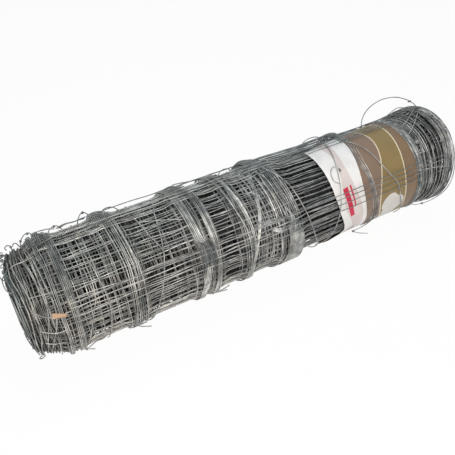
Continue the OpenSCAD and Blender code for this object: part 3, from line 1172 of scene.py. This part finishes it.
def tangle(number):
    """One of the short dull wires that cross each other above the pressed patch."""
    dice = np.random.default_rng(SEED["tangle"] + number)
    along = dice.uniform(*TANGLE_ALONG)
    angle = dice.uniform(*TANGLE_ANGLES)[:: dice.choice((1, -1))]
    middle = (along.mean() + dice.uniform(-4, 4), angle.mean() + dice.uniform(-2, 2), TANGLE_TOP)
    places = [(along[0], angle[0], TANGLE_FOOT), middle, (along[1], angle[1], TANGLE_FOOT)]
    return smooth_path(places, dice.uniform(0.4, 0.75))


def bulged_turn(along, high):
    """A turn that stands up from its band where it crosses the top of the roll."""
    low = float(envelope(along * MM, 1.0)) / MM
    return [
        (along - 3, 96, low), (along - 1, 109, (low + high) / 2), (along, 120, high - 0.6),
        (along + 1, 130, high), (along + 2, 142, high - 1.5), (along + 2, 156, low),
    ]


def bridge_stay(number):
    """One of the stays along the top that run straight from the fifth band to the strap over the label."""
    dice = np.random.default_rng(SEED["bridge"] + number)
    angle = BRIDGE_FROM + BRIDGE_SPAN * (number + dice.uniform(-0.3, 0.3)) / BRIDGE_STAYS
    sunk = 12 * (1 - ease((angle - 110) / 16)) + dice.uniform(0.0, 2.5)
    lean = dice.normal(0.0, 0.8)
    places = [
        (along, angle + lean * (along - BRIDGE_MIDDLE) / 200, max(high - sunk, BRIDGE_FLOOR))
        for along, high in BRIDGE
    ]
    return smooth_path(places, dice.uniform(0.38, 0.68), BRIDGE_STEPS)


bent = [tangle(n) for n in range(TANGLED)]
bent += [bridge_stay(n) for n in range(BRIDGE_STAYS)]
bent += [smooth_path(bulged_turn(*t), BULGE_SHADE) for t in BULGED_TURNS]
bent += [smooth_path(p) for p in ASKEW_WIRES + WIRE_ENDS]
bent += [smooth_path(p, LOOP_SHADE) for p in TOP_LOOPS + [BIG_LOOP] + RIM_CURLS]
# painted glint
bent += [smooth_path(p, PAINTED_GLINT) for p in GLINT_WIRES]
bent += [twist(*t) for t in TWISTS]
roll_pieces.append(draw_wires("loose_wires", bent, LOOSE_WIRE, WIRE_SIDES, BRIGHT_WIRE))

# %% [markdown]
# ## Pressed patches
# Low on the front of the fifth band the turns are pressed flat side by side and catch the light as one
# pale patch. On the third band a smaller patch is dark slate. Each is a row of short arcs laid close
# together over the strip, with their ends turned under.

# %% Pressed turns
PATCH_TURNS = 18
PATCH_TOP_FROM = 641
PATCH_TOP_PITCH = 2.3
PATCH_FOOT_FROM = 631
PATCH_FOOT_PITCH = 2.9
PATCH_TOP_ANGLE = 18
PATCH_SHADE = 0.85
SLATE_TURNS = 13
SLATE_FROM = 399
SLATE_PITCH = 3.1
SLATE_TOP_ANGLE = 36
SLATE_FOOT_ANGLE = 18
SLATE_SHADE = 0.34


def slate_turn(number):
    along = SLATE_FROM + SLATE_PITCH * number + 1.2 * wander(number * 1.3, SEED["slate_place"])
    top = SLATE_TOP_ANGLE + 3 * wander(number * 0.7, SEED["slate_top"])
    foot = SLATE_FOOT_ANGLE + 4 * wander(number * 0.9, SEED["slate_foot"])
    places = [
        (-3, top + 5, 140.5), (0, top, 144.3), (1, (top + foot) / 2, 144.6), (-1, foot, 144.3),
        (-4, foot - 5, 140.5),
    ]
    shade = SLATE_SHADE + 0.12 * wander(number * 0.6, SEED["slate_shade"])
    return smooth_path([(along + shift, angle, radius) for shift, angle, radius in places], shade)


def pressed_turn(number):
    high = PATCH_TOP_FROM + PATCH_TOP_PITCH * number
    low = PATCH_FOOT_FROM + PATCH_FOOT_PITCH * number
    top = PATCH_TOP_ANGLE - 0.5 * number - 2 * wander(number * 0.7, SEED["pressed_top"])
    places = [
        (high, top + 7, 136), (high, top, 141.5), ((high + low) / 2, -5, 143.2), (low, -22, 143.2),
        (low, -44, 140),
    ]
    return smooth_path(places, PATCH_SHADE + 0.15 * wander(number * 0.6, SEED["pressed_shade"]))


pressed = [pressed_turn(n) for n in range(PATCH_TURNS)] + [slate_turn(n) for n in range(SLATE_TURNS)]
roll_pieces.append(draw_wires("pressed_turns", pressed, WIRE, WIRE_SIDES, BRIGHT_WIRE))

# %% [markdown]
# ## The printed label
# A printed paper sheet lies on the bare stays near the far end, a little askew, held by the last turns. It
# is modelled as a fine grid wrapped round the roll, wrinkled over the stays, with its loose lower corner
# curling away, and thickened like paper. Its UV map runs along the sheet, so the print can be laid out on
# it in plain fractions of the sheet, as a stack of rolling bands, bars and round spots.

# %% Sheet mesh
SHEET_COLUMNS = 70
SHEET_ROWS = 100
SHEET_THICKNESS = 0.3 * MM
SHEET_LIFT = 0.25 * MM
CREASE_HEIGHT = 0.5 * MM
CURL_RISE = 6.0 * MM
CURL_WIDTH = 0.16
CURL_FROM = 0.5
CURL_OVER = 0.35
LABEL_EDGE = [
    (103, 8), (52, 11), (32, 14), (9, 26), (-8, 42), (-19, 48), (-25, 40), (-32, 16), (-45, 10), (-90, 8),
]
EDGE_FADE = 0.5
LABEL_SKEW = 22.0
SHEET_SHAPE = math.radians(LABEL_TOP - LABEL_FOOT) * LABEL_RADIUS / (LABEL_STOP - LABEL_START)


def thin_piece(name, points, thickness, offset, turned):
    """A smooth grid over rows of points, thickened like paper or card. Turned rows run up the roll."""
    rows, columns = points.shape[:2]
    faces = []
    for j in range(rows - 1):
        for i in range(columns - 1):
            here = j * columns + i
            below = here + columns
            second, last = (here + 1, below) if turned else (below, here + 1)
            faces.append((here, second, below + 1, last))
    mesh = bpy.data.meshes.new(name)
    mesh.from_pydata(points.reshape(-1, 3).tolist(), [], faces)
    mesh.shade_smooth()
    piece = put_in_scene(name, mesh)
    wall = piece.modifiers.new("thickness", "SOLIDIFY")
    wall.thickness = thickness
    wall.offset = offset
    return piece


def make_sheet():
    u = np.linspace(0.0, 1.0, SHEET_COLUMNS + 1)
    v = np.linspace(0.0, 1.0, SHEET_ROWS + 1)
    uu, vv = np.meshgrid(u, v)
    angle = LABEL_TOP + vv * (LABEL_FOOT - LABEL_TOP) + LABEL_SKEW * uu
    drawn_in = np.interp(angle, *np.array(LABEL_EDGE[::-1], float).T) * MM * ease(1 - uu / EDGE_FADE)
    along = LABEL_START + uu * (LABEL_STOP - LABEL_START) + drawn_in
    crease = 0.35 * wander(angle / 7.0, SEED["crease"]) + 0.25 * wander(angle / 16.0 + uu * 2.0, SEED["fold"])
    curl = ease((CURL_WIDTH - uu) / CURL_WIDTH) * ease((vv - CURL_FROM) / CURL_OVER)
    radius = LABEL_RADIUS + SHEET_LIFT + CREASE_HEIGHT * crease + CURL_RISE * curl
    sheet = thin_piece("label_sheet", on_roll(along, angle, radius), SHEET_THICKNESS, 1.0, turned=False)
    mesh = sheet.data
    flat = np.stack([uu, vv], axis=-1).reshape(-1, 2)
    corner = np.zeros(len(mesh.loops), np.int32)
    mesh.loops.foreach_get("vertex_index", corner)
    layer = mesh.uv_layers.new(name="sheet")
    layer.data.foreach_set("uv", flat[corner].astype(np.float32).ravel())
    return sheet


label_sheet = make_sheet()
print("label sheet", len(label_sheet.data.polygons), "faces")


# %% Label print
def hill(tree, u, v, height, swell, waves, shift):
    """1 above a rolling edge across the sheet."""
    wave = reckon(tree, "SINE", reckon(tree, "ADD", reckon(tree, "MULTIPLY", v, waves), shift))
    edge = reckon(tree, "ADD", reckon(tree, "MULTIPLY", wave, swell), height)
    return reckon(tree, "GREATER_THAN", u, edge)


def bar(tree, u, v, low_u, high_u, low_v, high_v):
    """1 inside a plain bar."""
    inside = reckon(tree, "GREATER_THAN", u, low_u)
    limits = (("LESS_THAN", u, high_u), ("GREATER_THAN", v, low_v), ("LESS_THAN", v, high_v))
    for kind, value, limit in limits:
        inside = reckon(tree, "MULTIPLY", inside, reckon(tree, kind, value, limit))
    return inside


def disc(tree, u, v, at_u, at_v, size):
    """1 inside a round spot, where a step of v is longer on the paper than one of u."""
    across = reckon(tree, "SUBTRACT", u, at_u)
    down = reckon(tree, "MULTIPLY", reckon(tree, "SUBTRACT", v, at_v), SHEET_SHAPE)
    across, down = reckon(tree, "MULTIPLY", across, across), reckon(tree, "MULTIPLY", down, down)
    return reckon(tree, "LESS_THAN", reckon(tree, "ADD", across, down), size * size)


WHITE = (0.80, 0.785, 0.775, 1.0)
PINK = (0.66, 0.585, 0.565, 1.0)
RED = (0.55, 0.02, 0.06, 1.0)
DARK_BROWN = (0.205, 0.135, 0.10, 1.0)
BROWN = (0.22, 0.15, 0.105, 1.0)
CREAM = (0.70, 0.62, 0.46, 1.0)
OLIVE = (0.24, 0.17, 0.065, 1.0)
EARTH = (0.20, 0.13, 0.075, 1.0)
PALE = (0.66, 0.64, 0.60, 1.0)
PRINT_LAYERS = [
    (PINK, hill, 0.12, 0.05, 9.0, 0.4),
    (WHITE, hill, 0.27, 0.04, 8.0, 2.6),
    (RED, bar, 0.10, 0.16, 0.36, 0.56),
    (RED, bar, 0.185, 0.205, 0.36, 0.50),
    (DARK_BROWN, bar, 0.0, 0.2, 0.69, 1.0),
    (BROWN, hill, 0.40, 0.06, 6.0, 2.0),
    (CREAM, hill, 0.60, 0.07, 8.0, 0.2),
    (OLIVE, hill, 0.612, 0.07, 8.0, 0.2),
    (CREAM, hill, 0.86, 0.03, 7.0, 1.0),
    (EARTH, hill, 0.872, 0.03, 7.0, 1.0),
    (PALE, disc, 0.66, 0.64, 0.09),
    (PALE, disc, 0.72, 0.70, 0.12),
    (PALE, disc, 0.70, 0.78, 0.09),
]


def make_print():
    material, tree = new_material("printed_paper")
    uv = add_node(tree, "ShaderNodeUVMap", uv_map="sheet").outputs["UV"]
    parts = add_node(tree, "ShaderNodeSeparateXYZ", {"Vector": uv}).outputs
    colour = WHITE
    for ink, shape, *places in PRINT_LAYERS:
        colour = blend(tree, shape(tree, parts["X"], parts["Y"], *places), colour, ink)
    worn = rescale(tree, noise(tree, 26.0, 5.0), 0.3, 0.7, 0.9, 1.04)
    finish = {"Base Color": dim(tree, colour, worn), "Roughness": 0.45}
    finish["Normal"] = bumped(tree, noise(tree, 140.0, 2.0), 0.15, 0.3 * MM)
    give(tree, tree.nodes["Principled BSDF"], finish)
    return material


label_sheet.data.materials.append(make_print())
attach(label_sheet, "root")
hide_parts("paper_label")

# %% [markdown]
# ## The curled tag
# A small tan card hangs by one end on the first band and curls up in the middle. It is a strip of grid
# bent along its length and a little across, thickened like card, with a matt material that is flecked with
# darker fibres.

# %% Tag mesh
TAG_STEPS = 24
TAG_ROWS = 6
TAG_WIDTH = 12 * MM
TAG_THICKNESS = 0.5 * MM
TAG_STRETCH = 1.1
TAG_SLID = 0.12
TAG_SKEW = 1.5 * MM
TAG_TILT = 9.0 * MM
TAG_BEND = 1.4 * MM
TAG_LIFT = 0.6 * MM
TAG_RISE = 2.6 * MM
TAG_CUP = 3.0 * MM
DARK_CARD = (0.36, 0.225, 0.135, 1.0)
PALE_CARD = (0.54, 0.37, 0.245, 1.0)


def make_tag():
    u, v = np.meshgrid(np.linspace(0.0, 1.0, TAG_STEPS + 1), np.linspace(-0.5, 0.5, TAG_ROWS + 1))
    length = tag_high.x - tag_low.x
    middle = (tag_low + tag_high) / 2
    angle = math.degrees(math.atan2(middle.z - AXIS_HEIGHT, -middle.y))
    along = tag_low.x - NEAR_END + (u * TAG_STRETCH - TAG_SLID) * length + TAG_SKEW * np.sin(2 * np.pi * v)
    width = TAG_WIDTH * (1.08 - 0.42 * ease(u / 0.8))
    slip = v * width - TAG_TILT * (u - 0.5) + TAG_BEND * np.sin(np.pi * u)
    rise = TAG_LIFT + TAG_RISE * np.sin(np.pi * u) ** 0.8 - TAG_CUP * v * v * (1 - u)
    points = on_roll(along, angle + np.degrees(slip / BAND_RADIUS), BAND_RADIUS + rise)
    return thin_piece("tag_strip", points, TAG_THICKNESS, 0.0, turned=True)


def make_card():
    material, tree = new_material("tan_card")
    fibre = noise(tree, 320.0, 4.0)
    finish = {"Base Color": blend(tree, fibre, DARK_CARD, PALE_CARD), "Roughness": 0.8}
    finish["Normal"] = bumped(tree, fibre, 0.3, 0.2 * MM)
    give(tree, tree.nodes["Principled BSDF"], finish)
    return material


tag_strip = make_tag()
tag_strip.data.materials.append(make_card())
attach(tag_strip, "root")
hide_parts("card_tag")
print("tag", round((tag_high.x - tag_low.x) / MM), "mm long")

# %% Hand over the wound wire
for piece in roll_pieces:
    dress_roll(piece)
